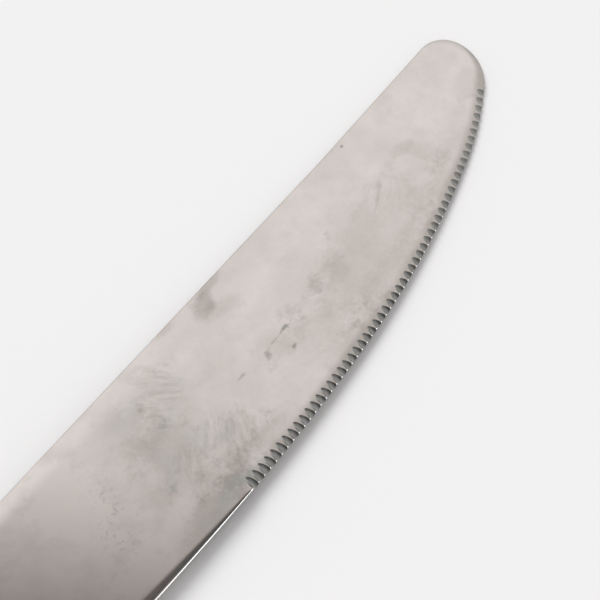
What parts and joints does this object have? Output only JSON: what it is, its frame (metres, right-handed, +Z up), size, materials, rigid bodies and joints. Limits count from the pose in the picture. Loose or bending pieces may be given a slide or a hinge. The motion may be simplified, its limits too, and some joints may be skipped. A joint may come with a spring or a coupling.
{
  "type": "table knife",
  "caption": "Stainless table knife with a round-nosed blade, a finely serrated edge and a smooth hollow handle.",
  "frame": {"origin": "on the table, under the middle of the knife's bounding box as it lies on its left side", "axes": "+X points to the tip, +Y from the cutting edge to the spine, +Z up out of the serrated face"},
  "size_m": [0.24, 0.0248, 0.0102],
  "materials": {
    "blade_steel": "satin-polished hardened stainless steel with faint smudges",
    "handle_steel": "mirror-polished stainless sheet",
    "braze": "silver brazing alloy, ground flush and polished",
    "cement": "set resin cement, matt and unseen"
  },
  "bodies": {
    "root": {"blade": "blade_steel", "right_handle_shell": "handle_steel", "left_handle_shell": "handle_steel", "seam_braze": "braze", "mouth_braze": "braze", "handle_filler": "cement"}
  },
  "joints": []
}
